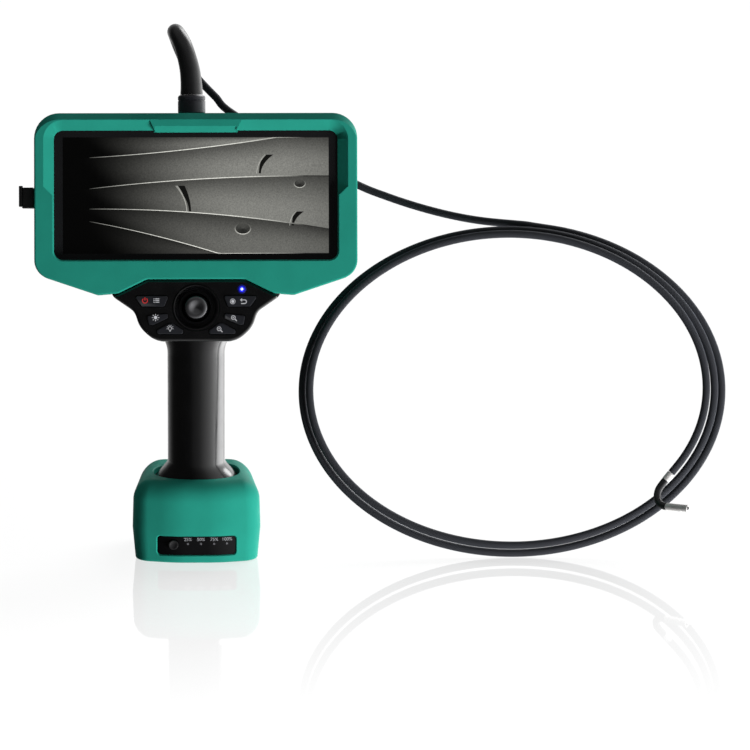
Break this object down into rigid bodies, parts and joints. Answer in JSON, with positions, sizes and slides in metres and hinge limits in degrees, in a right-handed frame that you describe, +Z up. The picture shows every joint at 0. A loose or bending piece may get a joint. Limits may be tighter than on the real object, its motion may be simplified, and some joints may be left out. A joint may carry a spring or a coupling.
{
  "type": "inspection camera",
  "caption": "Handheld videoscope with a guarded screen head, joystick panel, grip, clip-on battery base and a coiled steerable probe.",
  "frame": {"origin": "middle of the underside of the battery base", "axes": "+Z up along the grip, -Y towards the viewer of the screen, +X to the viewer's right, where the coil lies"},
  "size_m": [0.3555, 0.0981, 0.2627],
  "materials": {
    "green_plastic": "moulded, fine texture, satin",
    "black_gloss": "polished",
    "black_matte": "fine texture",
    "rubber": "matt",
    "dark_glass": "polished",
    "key_grey": "satin",
    "circuit_board": "solder mask",
    "steel": "satin",
    "dark_anodised": "anodised",
    "cell_wrap": "shrink sleeve over metal cans",
    "probe_braid": "braided sheath",
    "blue_lens": "clear moulding"
  },
  "bodies": {
    "handset": {"guard_frame": "green_plastic", "rear_housing": "black_matte", "cover_glass": "dark_glass", "display_gasket": "rubber", "display_module": "black_matte", "main_board": "circuit_board", "steering_motor": "steel", "port_block": "black_matte", "control_panel": "black_gloss", "keypad_board": "circuit_board", "status_lens": "blue_lens", "joystick_bezel": "black_gloss", "joystick_base": "black_matte", "grip_front": "black_gloss", "grip_rear": "black_gloss", "terminal_block": "black_matte", "gland_collar": "dark_anodised", "strain_relief": "rubber", "insertion_tube_lead": "probe_braid", "insertion_tube_coil": "probe_braid", "neck_ferrule": "steel"},
    "steering_pulley": {"steering_pulley": "steel"},
    "joystick_gimbal": {"joystick_gimbal": "steel"},
    "joystick": {"joystick_stick": "steel", "joystick_cap": "black_gloss"},
    "port_cover": {"port_cover": "rubber"},
    "battery": {"battery_boot": "green_plastic", "battery_case": "black_matte", "battery_cells": "cell_wrap", "gauge_board": "circuit_board", "gauge_window": "dark_glass", "base_plate": "black_matte"},
    "gauge_button": {"gauge_button": "key_grey"},
    "battery_latch": {"battery_latch": "black_matte"},
    "key_power": {"key_power": "key_grey"},
    "key_back": {"key_back": "key_grey"},
    "key_brightness": {"key_brightness": "key_grey"},
    "key_zoom_in": {"key_zoom_in": "key_grey"},
    "key_lamp": {"key_lamp": "key_grey"},
    "key_zoom_out": {"key_zoom_out": "key_grey"},
    "neck_link_1": {"neck_link_1": "rubber"},
    "neck_link_2": {"neck_link_2": "rubber"},
    "neck_link_3": {"neck_link_3": "rubber"},
    "neck_link_4": {"neck_link_4": "rubber"},
    "tip": {"tip_housing": "steel", "tip_lens": "dark_glass", "tip_lamp": "dark_glass"}
  },
  "joints": [
    {"name": "power_press", "type": "slide", "parent": "handset", "child": "key_power", "axis": [0, 0.9781, -0.2079], "range_m": [0, 0.0007], "stiffness_N_per_m": 400},
    {"name": "back_press", "type": "slide", "parent": "handset", "child": "key_back", "axis": [0, 0.9781, -0.2079], "range_m": [0, 0.0007], "stiffness_N_per_m": 400},
    {"name": "brightness_press", "type": "slide", "parent": "handset", "child": "key_brightness", "axis": [0, 0.9781, -0.2079], "range_m": [0, 0.0007], "stiffness_N_per_m": 400},
    {"name": "zoom_in_press", "type": "slide", "parent": "handset", "child": "key_zoom_in", "axis": [0, 0.9781, -0.2079], "range_m": [0, 0.0007], "stiffness_N_per_m": 400},
    {"name": "lamp_press", "type": "slide", "parent": "handset", "child": "key_lamp", "axis": [0, 0.9781, -0.2079], "range_m": [0, 0.0007], "stiffness_N_per_m": 400},
    {"name": "zoom_out_press", "type": "slide", "parent": "handset", "child": "key_zoom_out", "axis": [0, 0.9781, -0.2079], "range_m": [0, 0.0007], "stiffness_N_per_m": 400},
    {"name": "joystick_tilt_up_down", "type": "hinge", "parent": "handset", "child": "joystick_gimbal", "pos_m": [0, -0.01235, 0.12695], "axis": [1, 0, 0], "range_deg": [-15, 15], "stiffness_Nm_per_rad": 0.05},
    {"name": "joystick_tilt_left_right", "type": "hinge", "parent": "joystick_gimbal", "child": "joystick", "pos_m": [0, -0.01235, 0.12695], "axis": [0, 0.2079, 0.9781], "range_deg": [-15, 15], "stiffness_Nm_per_rad": 0.05},
    {"name": "port_cover_swing", "type": "hinge", "parent": "handset", "child": "port_cover", "pos_m": [-0.0823, 0.01153, 0.1782], "axis": [0, -0.2079, -0.9781], "range_deg": [0, 110]},
    {"name": "battery_pull", "type": "slide", "parent": "handset", "child": "battery", "axis": [0, 0, -1], "range_m": [0, 0.02]},
    {"name": "gauge_button_press", "type": "slide", "parent": "battery", "child": "gauge_button", "axis": [0, 1, 0], "range_m": [0, 0.0005], "stiffness_N_per_m": 400},
    {"name": "battery_latch_press", "type": "slide", "parent": "battery", "child": "battery_latch", "axis": [0, -1, 0], "range_m": [0, 0.0012], "stiffness_N_per_m": 500},
    {"name": "steering_turn", "type": "hinge", "parent": "handset", "child": "steering_pulley", "pos_m": [0, -0.01, 0.1837], "axis": [0, -0.9781, 0.2079], "range_deg": [-53, 7]},
    {"name": "neck_bend_1", "type": "hinge", "parent": "handset", "child": "neck_link_1", "pos_m": [0.23283, -0.02265, 0.03652], "axis": [-0.515, -0.6032, 0.609], "range_deg": [-53, 7]},
    {"name": "neck_bend_2", "type": "hinge", "parent": "neck_link_1", "child": "neck_link_2", "pos_m": [0.23158, -0.02431, 0.03382], "axis": [-0.515, -0.6032, 0.609], "range_deg": [-53, 7]},
    {"name": "neck_bend_3", "type": "hinge", "parent": "neck_link_2", "child": "neck_link_3", "pos_m": [0.23146, -0.02667, 0.03138], "axis": [-0.515, -0.6032, 0.609], "range_deg": [-53, 7]},
    {"name": "neck_bend_4", "type": "hinge", "parent": "neck_link_3", "child": "neck_link_4", "pos_m": [0.23249, -0.02937, 0.02958], "axis": [-0.515, -0.6032, 0.609], "range_deg": [-53, 7]},
    {"name": "neck_bend_5", "type": "hinge", "parent": "neck_link_4", "child": "tip", "pos_m": [0.2345, -0.03196, 0.02871], "axis": [-0.515, -0.6032, 0.609], "range_deg": [-53, 7]}
  ],
  "couplings": [
    {"joint": "neck_bend_1", "follows": "steering_turn", "ratio": 1},
    {"joint": "neck_bend_2", "follows": "steering_turn", "ratio": 1},
    {"joint": "neck_bend_3", "follows": "steering_turn", "ratio": 1},
    {"joint": "neck_bend_4", "follows": "steering_turn", "ratio": 1},
    {"joint": "neck_bend_5", "follows": "steering_turn", "ratio": 1}
  ]
}
